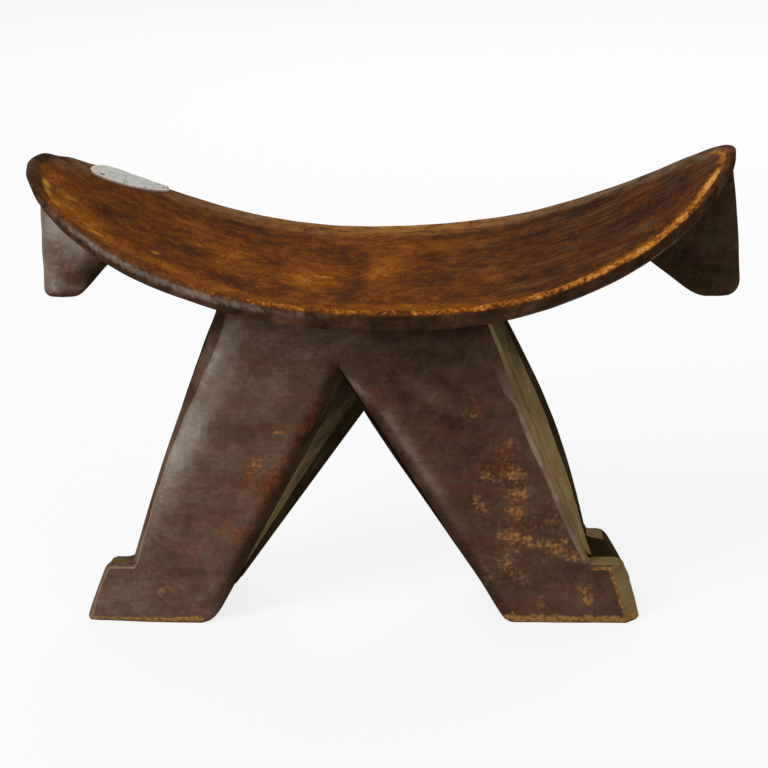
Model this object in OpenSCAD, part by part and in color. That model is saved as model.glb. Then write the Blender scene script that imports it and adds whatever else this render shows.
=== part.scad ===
// Carved wooden stool: a saddle seat with a lug under each end, on two splayed legs.
// The wood is one block. Each carved form of it is a solid of its own, and the forms meet
// face to face. A sheet-metal patch is folded over the seat's far edge and nailed down.
// Millimetres. +X runs along the seat, -Y faces the sitter's front, +Z is up, and the origin
// is on the floor under the middle of the seat.

/* [Seat] */
// Length of the seat along X
seat_length = 500; // [440:1:540]
// Width of the seat along Y
seat_width = 210; // [180:1:230]
// Height of the seat's top at the lowest point of the saddle
seat_height = 259; // [240:1:290]
// Rise of the seat's ends above the lowest point of the saddle
seat_rise = 86.5; // [60:0.5:95]
// Thickness of the board at its rim
rim_thickness = 13; // [10:0.5:16]
// Extra thickness under the middle of the board
belly = 6; // [3:0.5:9]
// Lift of the far edge at the right end, and its fall at the left end, where the board winds
seat_wind = 5.5; // [0:0.5:7]

/* [End lugs] */
// Height of the lugs' lower ends above the floor, the mean of the two
lug_bottom = 243.5; // [235:0.5:260]
// Width of a lug along Y
lug_width = 54; // [40:1:58]
// Length of a lug's lower end along X, the mean of the two
lug_tip = 26; // [20:1:28]
// Length of a lug along X where it meets the seat, the mean of the two
lug_root = 74.5; // [60:0.5:78]

/* [Legs] */
// Distance of the base's middle from the middle of the seat, to the left
base_shift = 22.5; // [0:0.5:30]
// Depth of the base along Y
base_depth = 76; // [64:1:82]
// Thickness of the front and rear panels of each leg
panel_thickness = 19; // [16:0.5:22]
// Half the spread of the legs' outer edges at the top of the feet
leg_spread = 167; // [150:1:175]
// Half the spread of the legs' outer edges at leg_top_height
leg_top_spread = 99; // [90:1:110]
// Height of the fork of the legs at the front
fork_front = 190; // [170:1:200]
// Fall of the fork from the front to the rear
fork_fall = 46; // [0:1:60]
// Distance of the fork from the base's middle at the front, to the left
fork_shift = 7; // [0:0.5:10]
// Half the gap between the feet at the front, on the floor
foot_gap = 107.5; // [100:0.5:115]
// Depth by which a web lies below the panels' inner edges
web_recess = 3; // [2:0.5:6]

/* [Feet] */
// Height of the feet
foot_height = 43; // [36:1:48]
// Distance by which a front toe stands out at the top of the foot
toe_step = 22; // [14:0.5:24]
// Distance by which a front toe spreads further on its way to the floor
toe_spread = 16; // [10:0.5:20]

/* [Patch] */
// Length of the patch along the seat's edge
patch_length = 62; // [45:1:65]
// Width of the patch across the seat's edge
patch_width = 31; // [24:1:34]
// Thickness of the patch's sheet metal
patch_thickness = 0.9; // [0.6:0.1:1.5]
// Diameter of the nails' heads
nail_head = 2.6; // [2:0.1:4]

/* [Hidden] */

dark_wood = "#4a3428";
seat_wood = "#7a4a22";
raw_wood = "#6d6046";
sheet_metal = "#b9b6b0";

half_length = seat_length / 2;
half_width = seat_width / 2;
// the saddle's lowest point lies a little right of the middle
saddle_low_x = 2.4;
saddle_curve_left = 2.26;
saddle_curve_right = 2.45;
// the seat's outline is a rounded oblong, fuller at its left end
corner_left = 5;
corner_right_near = 4.2;
corner_right_far = 3;
corner_round = 1.8;
// the right end of the board stops this much short of the lug below it
right_end_short = 2.5;
top_radius = 5;
bottom_radius = 3;
// the strip of the underside that the legs and lugs meet is flat across
flat_half = 44;
// near the ends the strip takes up this share of the seat's width
flat_margin = 0.9;
// the outline stops just short of a point at each end
end_trim = 0.9996;
seat_stations = 30;

half_depth = base_depth / 2;
panel_inner = half_depth - panel_thickness;
leg_top_height = 222;
// the legs' panels are drawn to this height and cut off under the seat
leg_draw_height = 300;
front_bow_left = 3;
front_bow_right = -2;
rear_bow = 5;
rear_foot_draw_in = 4;
rear_top_spread_more = 3.6;
// the left leg stands this much further out than the mean of the two
spread_lean = 1;
// the rear ends of the gap between the feet come closer together
foot_gap_fall = 10;
fork_power = 1.3;
// the fork runs askew, to this far right of where it starts
fork_drift = 12;
// the left leg's inner edge stands this much further out than the mean of the two
gap_lean = 3.2;
// depth by which a web lies below the panels' outer edges
web_outer_recess = 1;
edge_steps = 6;
above_fork_steps = 3;
web_steps = 4;
toe_radius = 5;
// the right front toe is squarer than the left one, by this much each way
toe_lean = 2.5;
rear_toe_step_right = 13.5;
rear_toe_spread_right = 20;
// the left rear toe hardly stands out
rear_toe_step_left = 2;
rear_toe_spread_left = 14;
// the sole's worn outer edge
sole_edge = 3;
heel_radius = 7;
arc_steps = 5;

lug_radius = 6;
// rounding of a lug's outer corners, seen from above
lug_corner = 14;
// how far out the upright faces are at their tops
lug_left_out = 238.5;
lug_right_out = 245.2;
// a lug leans out on its way down, and the right one is larger in each measure
lug_flare = 4;
lug_flare_more = 0.8;
lug_bottom_lower = 1.2;
lug_tip_more = 0.7;
lug_root_more = 9;
// where the slanting face runs out, above the saddle's lowest point
lug_root_rise = 30;

patch_middle_x = -201;
// half the patch's extent along X, where the edge runs askew to X
patch_reach_x = patch_length / 2 * cos(29);
// keeps the patch's two ends a little blunt
patch_blunt = 0.02;
// how far the patch's middle line lies in from the start of the seat's rounded edge
patch_inset = 8.5;
patch_long_steps = 18;
patch_cross_steps = 12;
nail_height = 0.7;
// keeps a flat nail head clear of the curving sheet
nail_gap = 0.15;
// the sheet's clearance off the wood
patch_gap = 0.1;
// each nail's place on the patch: a share of its half length, a share of its half width
nail_places = [[-0.78, 0.1], [-0.35, 0.72], [0.3, 0.74], [0.84, 0.15]];

// Height of the seat's top above the saddle's lowest point, at x
function saddle(x) =
    let (away = x - saddle_low_x)
    away < 0
        ? seat_rise * pow(-away / (half_length + saddle_low_x), saddle_curve_left)
        : seat_rise * pow(away / (half_length - right_end_short - saddle_low_x), saddle_curve_right);

// Lift of the winding board at a point
function wind(x, y) = seat_wind * (x / half_length) * (y / half_width);

// Half width of the seat's outline as a share of its greatest, at a share of its half length
function outline(share, side) =
    let (corner = share < 0 ? corner_left : side < 0 ? corner_right_near : corner_right_far)
    pow(1 - pow(abs(share), corner), 1 / corner_round);

// Where a share of the half length lies along X, on the outline drawn in by an inset
function along_seat(share, inset) =
    (half_length - inset - (share > 0 ? right_end_short : 0)) * share;

function station_share(i) = end_trim * sin(90 * i / seat_stations);

// The rim's rounded edge from the underside to the top: how far in from the outline, how high
rim_edge = concat(
    [for (a = [-90, -45, 0]) [bottom_radius * (1 - cos(a)), bottom_radius * (1 + sin(a)) - rim_thickness]],
    [for (a = [0, 30, 60, 90]) [top_radius * (1 - cos(a)), top_radius * (sin(a) - 1)]]
);

// One point of the rim: its inset from the outline and its level below the seat's top
function rim_point(share, side, inset, level) =
    let (
        x = along_seat(share, inset),
        y = side * (half_width - inset) * outline(share, side)
    )
    [x, y, seat_height + saddle(x) + level + wind(x, y)];

function underside_x(share) = along_seat(share, bottom_radius);
function underside_z(share) = seat_height + saddle(underside_x(share)) - rim_thickness - belly;

// The flat strip's edge on the underside, kept within the outline near the ends
function underside_point(share, side) = [
    underside_x(share),
    side * min(flat_half, flat_margin * (half_width - bottom_radius) * outline(share, side)),
    underside_z(share)
];

// The seat's section at one station, once round from the underside to the near and far edges
function seat_section(share) = concat(
    [underside_point(share, -1)],
    [for (p = rim_edge) rim_point(share, -1, p[0], p[1])],
    [for (k = [len(rim_edge) - 1 : -1 : 0]) rim_point(share, 1, rim_edge[k][0], rim_edge[k][1])],
    [underside_point(share, 1)]
);

// A closed solid through rings of points. A ring goes up one edge of a section and down the
// other, so its first point faces its last, and its two ends are closed by a ladder of faces.
module skin(rings) {
    count = len(rings[0]);
    last = (len(rings) - 1) * count;
    rungs = count / 2 - 2;
    polyhedron(
        points = [for (ring = rings) each ring],
        faces = concat(
            [for (k = [0 : rungs])
                let (a = k, b = count - 1 - k)
                each [[a, b, a + 1], [a + 1, b, b - 1]]],
            [for (i = [0 : count : last - count]) for (k = [0 : count - 1])
                let (a = i + k, b = i + (k + 1) % count)
                each [[a, b + count, a + count], [a, b, b + count]]],
            [for (k = [0 : rungs])
                let (a = last + k, b = last + count - 1 - k)
                each [[a, a + 1, b], [a + 1, b - 1, b]]]
        )
    );
}

// All the space below the flat strip of the seat's underside
module below_seat(depth) {
    rotate([90, 0, 0])
        linear_extrude(height = depth, center = true)
            polygon(concat(
                [[-half_length, -1]],
                [for (i = [-seat_stations : seat_stations])
                    let (share = station_share(i))
                    [underside_x(share), underside_z(share)]],
                [[half_length, seat_height + seat_rise], [half_length, -1]]
            ));
}

// Saddle seat: a winding board of even rim, thicker along the middle of its underside
module seat() {
    color(seat_wood)
        skin([for (i = [-seat_stations : seat_stations]) seat_section(station_share(i))]);
}

// Points of a rounded corner: its centre, its radius and the angles that it runs through
function corner(centre, radius, from, to) = [
    for (k = [0 : arc_steps])
        let (a = from + (to - from) * k / arc_steps)
        centre + radius * [cos(a), sin(a)]
];

// Plan of a lug: square where it runs in under the seat, rounded at its outer corners
module lug_plan(reach, root) {
    corner_x = reach - lug_corner;
    corner_y = lug_width / 2 - lug_corner;
    polygon(concat(
        [[root, -lug_width / 2]],
        corner([corner_x, -corner_y], lug_corner, -90, 0),
        corner([corner_x, corner_y], lug_corner, 0, 90),
        [[root, lug_width / 2]]
    ));
}

// Lug under an end of the seat: nearly upright outside, slanting inside, rounded lower end
module end_lug(side, out) {
    reach = out + lug_flare + side * lug_flare_more;
    bottom = lug_bottom - side * lug_bottom_lower;
    tip_x = reach - lug_tip - side * lug_tip_more;
    root = out - lug_root - side * lug_root_more;
    tip = concat(
        corner([reach - lug_radius, bottom + lug_radius], lug_radius, 0, -90),
        corner([tip_x + lug_radius, bottom + lug_radius], lug_radius, -90, -135)
    );
    face = concat([[out, seat_height + seat_rise]], tip, [
        [root, seat_height + lug_root_rise],
        [root, seat_height + seat_rise]
    ]);
    color(dark_wood)
        intersection() {
            rotate([90, 0, 0])
                linear_extrude(height = lug_width, center = true)
                    polygon([for (p = face) [side * p[0], p[1]]]);
            mirror([side < 0 ? 1 : 0, 0, 0])
                linear_extrude(height = seat_height + seat_rise)
                    lug_plan(reach, root);
            below_seat(lug_width + 2);
        }
}

// How far back a depth y lies, from 0 at the front of the base to 1 at the rear
function back_share(y) = (y + half_depth) / base_depth;

// Height and sideways place of the fork, and half the gap on the floor, at depth y
function fork_height(y, recess) = fork_front - fork_fall * pow(back_share(y), fork_power) + 2 * recess;
function fork_left(y) = fork_shift - fork_drift * back_share(y);
function floor_gap(y, recess) = foot_gap - foot_gap_fall * back_share(y) + recess;

// Outer edge of a leg at height z and depth y, measured from the base's middle
function outer_edge(side, y, z) =
    let (
        back = back_share(y),
        front_bow = side < 0 ? front_bow_left : front_bow_right,
        rise = (z - foot_height) / (leg_top_height - foot_height),
        bow = front_bow + (rear_bow - front_bow) * back,
        low = leg_spread - side * spread_lean - rear_foot_draw_in * back,
        high = leg_top_spread + rear_top_spread_more * back
    )
    low + (high - low) * rise + bow * sin(180 * min(1, max(0, rise)));

// Inner edge of a leg at height z and depth y, measured from the base's middle
function inner_edge(side, y, z, recess = 0) =
    let (
        fork = -side * fork_left(y),
        floor_x = floor_gap(y, recess) - side * gap_lean,
        rise = min(1, z / fork_height(y, recess))
    )
    floor_x + (fork - floor_x) * rise;

function place(side, x) = side * x - base_shift;

// Heights at which a leg's outline has points: from low up to the fork, and on to the top
function leg_heights(y, low, recess) =
    let (fork = fork_height(y, recess))
    concat(
        [for (k = [0 : edge_steps]) low + (fork - low) * k / edge_steps],
        [for (k = [1 : above_fork_steps]) fork + (leg_draw_height - fork) * k / above_fork_steps]
    );

// Outline of a leg at depth y from height low up, drawn in by a recess on each edge
function leg_section(side, y, low, recess, outer_recess) =
    let (heights = leg_heights(y, low, recess))
    concat(
        [for (z = heights) [place(side, outer_edge(side, y, z) - outer_recess), y, z]],
        [for (k = [len(heights) - 1 : -1 : 0])
            [place(side, inner_edge(side, y, heights[k], recess)), y, heights[k]]]
    );

// Depths in the order that turns a skin's faces outwards on either side
function in_order(side, depths) =
    side > 0 ? depths : [for (k = [len(depths) - 1 : -1 : 0]) depths[k]];

module leg_part(side, depths, low, recess, outer_recess) {
    intersection() {
        skin([for (y = in_order(side, depths)) leg_section(side, y, low, recess, outer_recess)]);
        below_seat(base_depth + 2);
    }
}

function panel_depths(near) = near ? [-half_depth, -panel_inner] : [panel_inner, half_depth];

// Front or rear panel of a leg, from the top of its foot to the seat
module leg_panel(side, near) {
    color(dark_wood) leg_part(side, panel_depths(near), foot_height, 0, 0);
}

// Web between a leg's two panels, lying a little below their edges
module web(side) {
    depths = [for (k = [0 : web_steps]) panel_inner * (2 * k / web_steps - 1)];
    color(raw_wood) leg_part(side, depths, 0, web_recess, web_outer_recess);
}

// How far a toe stands out at the top of its foot, and how far it spreads below that
function toe_out(side, near) =
    near ? toe_step + side * toe_lean : side < 0 ? rear_toe_step_left : rear_toe_step_right;
function toe_slant(side, near) =
    near ? toe_spread - side * toe_lean : side < 0 ? rear_toe_spread_left : rear_toe_spread_right;

// Outline of a foot at depth y: a sloping toe outside, the leg's own line inside
function foot_section(side, near, y) =
    let (
        leg_x = outer_edge(side, y, foot_height),
        toe_top = leg_x + toe_out(side, near),
        toe_floor = toe_top + toe_slant(side, near),
        slope = atan2(toe_floor - toe_top, foot_height),
        radius = min(toe_radius, 0.8 * toe_out(side, near)),
        outer = concat(
            [[toe_floor - sole_edge, 0], [toe_floor, sole_edge]],
            corner([toe_top - radius, foot_height - radius], radius, slope, 90),
            [[leg_x, foot_height]]
        ),
        inner_steps = len(outer) - arc_steps - 1,
        inner = concat(
            [for (k = [inner_steps : -1 : 1])
                let (z = heel_radius + (foot_height - heel_radius) * k / inner_steps)
                [inner_edge(side, y, z), z]],
            corner([inner_edge(side, y, heel_radius) + heel_radius, heel_radius], heel_radius, 180, 270)
        )
    )
    [for (p = concat(outer, inner)) [place(side, p[0]), y, p[1]]];

// Foot under one panel of a leg, with a toe that stands out beyond it
module foot(side, near) {
    color(dark_wood)
        skin([for (y = in_order(side, panel_depths(near))) foot_section(side, near, y)]);
}

// A point over the seat's far edge: how far in from the start of its rounding, how far off the wood
function edge_point(share, run, off) =
    let (
        turn = run < 0 ? min(90, -run / top_radius * 180 / PI) : 0,
        down = run < 0 ? max(0, -run - top_radius * PI / 2) : 0,
        inset = run < 0 ? top_radius - (top_radius + off) * sin(turn) : top_radius + run,
        x = along_seat(share, inset),
        y = (half_width - inset) * outline(share, 1),
        level = run < 0 ? (top_radius + off) * cos(turn) - top_radius - down : off
    )
    [x, y, seat_height + saddle(x) + level + wind(x, y)];

// A point of the patch: shares of its half length and half width, and its height off the wood
function patch_point(along, across, off) =
    let (
        share = (patch_middle_x + along * patch_reach_x) / half_length,
        breadth = sqrt(max(patch_blunt, 1 - along * along)) * patch_width / 2
    )
    edge_point(share, patch_inset - across * breadth, off);

// Oval patch of sheet metal, folded over the seat's far edge
module metal_patch() {
    rings = [for (i = [-patch_long_steps / 2 : patch_long_steps / 2])
        let (along = sin(90 * i / (patch_long_steps / 2)))
        concat(
            [for (k = [-patch_cross_steps / 2 : patch_cross_steps / 2])
                patch_point(along, k / (patch_cross_steps / 2), patch_thickness)],
            [for (k = [patch_cross_steps / 2 : -1 : -patch_cross_steps / 2])
                patch_point(along, k / (patch_cross_steps / 2), patch_gap)]
        )];
    color(sheet_metal) skin(rings);
}

// Heads of the nails that hold the patch down
module patch_nails() {
    color(sheet_metal)
        for (p = nail_places)
            translate(patch_point(p[0], -p[1], patch_thickness + nail_gap))
                cylinder(h = nail_height, d = nail_head, $fn = 24);
}

seat();
end_lug(-1, lug_left_out);  // left_end_lug
end_lug(1, lug_right_out);  // right_end_lug
leg_panel(-1, true);  // left_front_leg
leg_panel(1, true);  // right_front_leg
leg_panel(-1, false);  // left_rear_leg
leg_panel(1, false);  // right_rear_leg
web(-1);  // left_web
web(1);  // right_web
foot(-1, true);  // left_front_foot
foot(1, true);  // right_front_foot
foot(-1, false);  // left_rear_foot
foot(1, false);  // right_rear_foot
metal_patch();
patch_nails();
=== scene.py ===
import math

import bmesh
import bpy
import numpy as np
from mathutils import Matrix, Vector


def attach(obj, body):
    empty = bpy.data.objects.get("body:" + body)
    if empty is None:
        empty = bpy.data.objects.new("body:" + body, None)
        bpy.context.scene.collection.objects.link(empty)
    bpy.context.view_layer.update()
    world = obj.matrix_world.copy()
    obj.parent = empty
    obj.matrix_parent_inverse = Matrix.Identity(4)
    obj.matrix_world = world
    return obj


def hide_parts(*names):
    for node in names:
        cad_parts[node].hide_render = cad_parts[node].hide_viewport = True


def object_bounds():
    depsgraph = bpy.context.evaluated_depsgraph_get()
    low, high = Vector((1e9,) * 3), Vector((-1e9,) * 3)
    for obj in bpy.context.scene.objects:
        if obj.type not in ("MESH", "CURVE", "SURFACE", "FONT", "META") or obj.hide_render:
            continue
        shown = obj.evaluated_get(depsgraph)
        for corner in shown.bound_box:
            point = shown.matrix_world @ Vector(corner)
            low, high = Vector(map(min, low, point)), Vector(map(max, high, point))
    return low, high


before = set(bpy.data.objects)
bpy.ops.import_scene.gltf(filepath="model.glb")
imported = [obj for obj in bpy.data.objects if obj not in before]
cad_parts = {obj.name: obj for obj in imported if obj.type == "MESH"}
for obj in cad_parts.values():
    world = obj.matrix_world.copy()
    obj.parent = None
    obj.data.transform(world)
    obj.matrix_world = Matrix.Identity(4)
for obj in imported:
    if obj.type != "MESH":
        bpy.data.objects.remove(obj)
cad_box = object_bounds()


# Seat
# The real seat is the top of the carved block: a long oval board, hollowed to a saddle, with an
# even rim. Its top is polished orange brown by use, its rim is dark, and the rim's upper edge is
# worn to bright wood along the near side.
mm = 0.001
half_length = 250 * mm
half_width = 105 * mm
right_end_short = 2.5 * mm
saddle_height = 259 * mm
saddle_rise = 86.5 * mm
right_rise_less = 2 * mm
saddle_low_x = 2.4 * mm
left_curve = 2.26
right_curve = 2.35
corner_lift = 3.4 * mm
corner_dip = 1.3 * mm
winding = 5.5 * mm
left_fullness = 5
near_right_fullness = 4.2
far_right_fullness = 2.9
side_power = 1 / 1.8
spine_share = 0.62
rim_lean = 0.9 * mm
highest = cad_box[1][2]


def smooth_step(low, high, value):
    """0 below low, 1 above high, and an S-curve between them."""
    share = np.clip((value - low) / (high - low), 0, 1)
    return share * share * (3 - 2 * share)


def hill(value, middle, width):
    """A smooth bell: 1 at the middle, and about a third at one width to either side."""
    return np.exp(-(((value - middle) / width) ** 2))


def seat_top(x, y):
    """Height of the seat's top: a power curve of x on each side of the lowest point, plus a
    twist that grows with x times y, a small lift at the far left corner and a dip beside it."""
    away = x - saddle_low_x
    left = saddle_rise * np.abs(away / (half_length + saddle_low_x)) ** left_curve
    right_share = np.abs(away / (half_length - right_end_short - saddle_low_x))
    right = (saddle_rise - right_rise_less) * right_share ** right_curve
    curve = np.where(away < 0, left, right)
    lift = corner_lift * smooth_step(-236 * mm, -248 * mm, x) * smooth_step(0, 35 * mm, y)
    dip = corner_dip * hill(x, -221 * mm, 13 * mm) * smooth_step(20 * mm, 60 * mm, y)
    return saddle_height + curve + lift - dip + winding * (x / half_length) * (y / half_width)


def ripple(points, wavelength, seed):
    """Smooth unevenness from about -1 to 1: seven sine waves in seeded directions, added."""
    rng = np.random.default_rng(seed)
    total = 0
    for _ in range(7):
        direction = rng.normal(size=3)
        direction = direction / np.linalg.norm(direction)
        turns = points @ direction / (wavelength * rng.uniform(0.7, 1.5)) + rng.uniform()
        total = total + np.sin(2 * np.pi * turns)
    return total / 3.5


def spot(points, centre, radii, tilt=0.0):
    """1 in the middle of an oval place and 0 outside it, on the first two columns of points."""
    across = points[..., :2] - np.array(centre)
    turn = math.radians(tilt)
    along = across[..., 0] * math.cos(turn) + across[..., 1] * math.sin(turn)
    aside = across[..., 1] * math.cos(turn) - across[..., 0] * math.sin(turn)
    return np.exp(-1.5 * ((along / radii[0]) ** 2 + (aside / radii[1]) ** 2))


def add_spots(seen, places):
    """Oval places added up, each with its middle, half length and half width in mm, its tilt in
    degrees and its strength."""
    total = np.zeros(seen.shape[:2])
    for x, height, long, wide, tilt, strength in places:
        total = total + strength * spot(seen, (x * mm, height * mm), (long * mm, wide * mm), tilt)
    return total


def grid_faces(rows, columns):
    """Quads of a grid whose columns close into a ring, as rows of four vertex numbers."""
    row, column = np.meshgrid(np.arange(rows - 1), np.arange(columns), indexing="ij")
    after = (column + 1) % columns
    quads = [row * columns + column, row * columns + after, (row + 1) * columns + after,
             (row + 1) * columns + column]
    return np.stack(quads, axis=-1).reshape(-1, 4)


def add_piece(name, points, faces, masks, material, slot, *nodes):
    """Makes a mesh object of arrays, gives it masks as attributes, merges its doubles, turns its
    faces outwards, and stands it in for CAD nodes."""
    mesh = bpy.data.meshes.new(name)
    mesh.from_pydata(points.reshape(-1, 3), [], faces)
    for mask_name, values in masks.items():
        kind, field = ("FLOAT_VECTOR", "vector") if values.shape[-1] == 3 else ("FLOAT", "value")
        layer = mesh.attributes.new(mask_name, kind, "POINT")
        layer.data.foreach_set(field, np.ascontiguousarray(values.ravel(), dtype=np.float32))
    shape = bmesh.new()
    shape.from_mesh(mesh)
    bmesh.ops.remove_doubles(shape, verts=shape.verts, dist=0.03 * mm)
    bmesh.ops.delete(shape, geom=[v for v in shape.verts if not v.link_faces], context="VERTS")
    bmesh.ops.recalc_face_normals(shape, faces=shape.faces)
    shape.to_mesh(mesh)
    shape.free()
    mesh.polygons.foreach_set("use_smooth", np.ones(len(mesh.polygons), dtype=bool))
    mesh.materials.append(material)
    piece = bpy.data.objects.new(name, mesh)
    bpy.context.scene.collection.objects.link(piece)
    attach(piece, "root")
    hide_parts(*nodes)


def add_node(tree, kind, inputs, **settings):
    """Adds a shader node, sets its properties, and fills its inputs with values or sockets."""
    made = tree.nodes.new(kind)
    for key, value in settings.items():
        setattr(made, key, value)
    for key, value in inputs.items():
        if isinstance(value, bpy.types.NodeSocket):
            tree.links.new(value, made.inputs[key])
        else:
            made.inputs[key].default_value = value
    return made


def add_mask(tree, name, output="Fac"):
    """A mask of the mesh, or a vector stored in it, for the shader to read."""
    return add_node(tree, "ShaderNodeAttribute", {}, attribute_name=name).outputs[output]


def combine(tree, how, first, second, third=0.0):
    """One number out of two or three, such as their product or the larger one."""
    return add_node(tree, "ShaderNodeMath", {0: first, 1: second, 2: third}, operation=how).outputs[0]


def blend(tree, share, low, high):
    """A colour between two others."""
    mixed = add_node(tree, "ShaderNodeMix", {}, data_type="RGBA")
    for place, value in (("Factor", share), ("A", low), ("B", high)):
        socket = [s for s in mixed.inputs if s.name == place and s.enabled][0]
        if isinstance(value, bpy.types.NodeSocket):
            tree.links.new(value, socket)
        else:
            socket.default_value = value
    return [s for s in mixed.outputs if s.enabled][0]


def cover(tree, share, strength, low, high):
    """A colour laid over another one, at a share times a strength."""
    return blend(tree, times(tree, share, strength), low, high)


def ease(tree, value, low, high, to_low=0.0, to_high=1.0):
    """A value taken smoothly from one range to another."""
    return add_node(tree, "ShaderNodeMapRange", {
        "Value": value, "From Min": low, "From Max": high, "To Min": to_low, "To Max": to_high,
    }, interpolation_type="SMOOTHSTEP").outputs["Result"]


def ramp(tree, value, *stops):
    """A colour picked by a value among stops, each a value and a colour, blended between."""
    node = add_node(tree, "ShaderNodeValToRGB", {"Fac": value})
    elements = node.color_ramp.elements
    elements[0].position, elements[0].color = stops[0]
    elements[1].position, elements[1].color = stops[-1]
    for position, colour in stops[1:-1]:
        elements.new(position).color = colour
    return node.outputs["Color"]


def times(tree, first, second):
    """The product of two values."""
    return combine(tree, "MULTIPLY", first, second)


def sway(tree, value, grain, **amounts):
    """A value moved up and down by some of the grain's noises, each by its own amount. The
    middle of each noise is one half."""
    for label, amount in amounts.items():
        centred = combine(tree, "SUBTRACT", grain[label], 0.5)
        value = combine(tree, "MULTIPLY_ADD", centred, amount, value)
    return value


def add_flecks(tree, mask, grain, low, high, **amounts):
    """A mask broken into soft flecks by the grain, and kept to where the mask is present."""
    swayed = sway(tree, mask, grain, **amounts)
    return times(tree, ease(tree, swayed, low, high), ease(tree, mask, 0, 0.3))


def paint(red, green, blue):
    """A colour written as 0 to 255, as the linear values that the shader takes."""
    shares = [c / 255 for c in (red, green, blue)]
    return tuple(((c + 0.055) / 1.055) ** 2.4 if c > 0.04 else c / 12.92 for c in shares) + (1,)


def new_group(name, inputs, outputs):
    """An empty node group with float or vector inputs and outputs, and its two end nodes."""
    tree = bpy.data.node_groups.new(name, "ShaderNodeTree")
    for label, kind, value in inputs:
        socket = tree.interface.new_socket(name=label, in_out="INPUT", socket_type=kind)
        if value is not None:
            socket.default_value = value
    for label, kind in outputs:
        tree.interface.new_socket(name=label, in_out="OUTPUT", socket_type=kind)
    return tree, tree.nodes.new("NodeGroupInput"), tree.nodes.new("NodeGroupOutput")


def make_grain_group():
    """Wood grain along X: broad streaks, fine streaks, short pores and cloudy patches."""
    tree, start, end = new_group(
        "wood grain",
        [("Vector", "NodeSocketVector", None), ("Streak Width", "NodeSocketFloat", 0.006)],
        [("Streaks", "NodeSocketFloat"), ("Fine", "NodeSocketFloat"), ("Pores", "NodeSocketFloat"),
         ("Clouds", "NodeSocketFloat"), ("Specks", "NodeSocketFloat"), ("Mottle", "NodeSocketFloat")],
    )
    place = start.outputs["Vector"]
    frequency = combine(tree, "DIVIDE", 1.0, start.outputs["Streak Width"])
    for label, stretch, factor, detail, rough in (
        ("Streaks", (0.1, 1, 1), 1.0, 4, 0.55), ("Fine", (0.05, 1, 1), 6.0, 3, 0.6),
        ("Pores", (0.16, 1, 1), 10.0, 1, 0.5), ("Clouds", (0.7, 1, 1), 0.22, 4, 0.6),
        ("Specks", (0.9, 1, 1), 2.4, 5, 0.65), ("Mottle", (0.9, 1, 1), 0.6, 5, 0.62),
    ):
        stretched = add_node(tree, "ShaderNodeMapping", {"Vector": place, "Scale": stretch})
        noise = add_node(tree, "ShaderNodeTexNoise", {
            "Vector": stretched.outputs[0], "Scale": times(tree, frequency, factor),
            "Detail": detail, "Roughness": rough, "Distortion": 0.3,
        })
        tree.links.new(noise.outputs["Fac"], end.inputs[label])
    return tree


def make_wear_group():
    """Wear that follows a mask: the mask breaks up into flecks at its border."""
    tree, start, end = new_group(
        "broken wear",
        [("Vector", "NodeSocketVector", None), ("Mask", "NodeSocketFloat", 0.0),
         ("Fleck Size", "NodeSocketFloat", 0.004), ("Raggedness", "NodeSocketFloat", 0.6)],
        [("Wear", "NodeSocketFloat")],
    )
    noise = add_node(tree, "ShaderNodeTexNoise", {
        "Vector": start.outputs["Vector"], "Detail": 6, "Roughness": 0.68,
        "Scale": combine(tree, "DIVIDE", 1.0, start.outputs["Fleck Size"]),
    })
    flecks = times(tree, combine(tree, "SUBTRACT", noise.outputs["Fac"], 0.5), 3.0)
    ragged = combine(tree, "MULTIPLY_ADD", flecks, start.outputs["Raggedness"], start.outputs["Mask"])
    gone = ease(tree, ragged, 0.35, 0.65)
    present = ease(tree, start.outputs["Mask"], 0.02, 0.2)
    tree.links.new(times(tree, gone, present), end.inputs["Wear"])
    return tree


wood_grain = make_grain_group()
broken_wear = make_wear_group()


def add_grain(tree, place, streak_width):
    """The grain group's outputs, at a place and a width of streak."""
    made = add_node(tree, "ShaderNodeGroup", {}, node_tree=wood_grain)
    tree.links.new(place, made.inputs["Vector"])
    made.inputs["Streak Width"].default_value = streak_width
    return made.outputs


def add_wear(tree, place, mask, fleck_size, raggedness):
    """The wear group on one mask, as a share of bare wood."""
    made = add_node(tree, "ShaderNodeGroup", {}, node_tree=broken_wear)
    tree.links.new(place, made.inputs["Vector"])
    tree.links.new(mask, made.inputs["Mask"])
    made.inputs["Fleck Size"].default_value = fleck_size
    made.inputs["Raggedness"].default_value = raggedness
    return made.outputs["Wear"]


def new_material(name):
    """A material, its node tree and its Principled shader."""
    material = bpy.data.materials.new(name)
    material.use_nodes = True
    tree = material.node_tree
    return material, tree, tree.nodes["Principled BSDF"]


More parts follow.
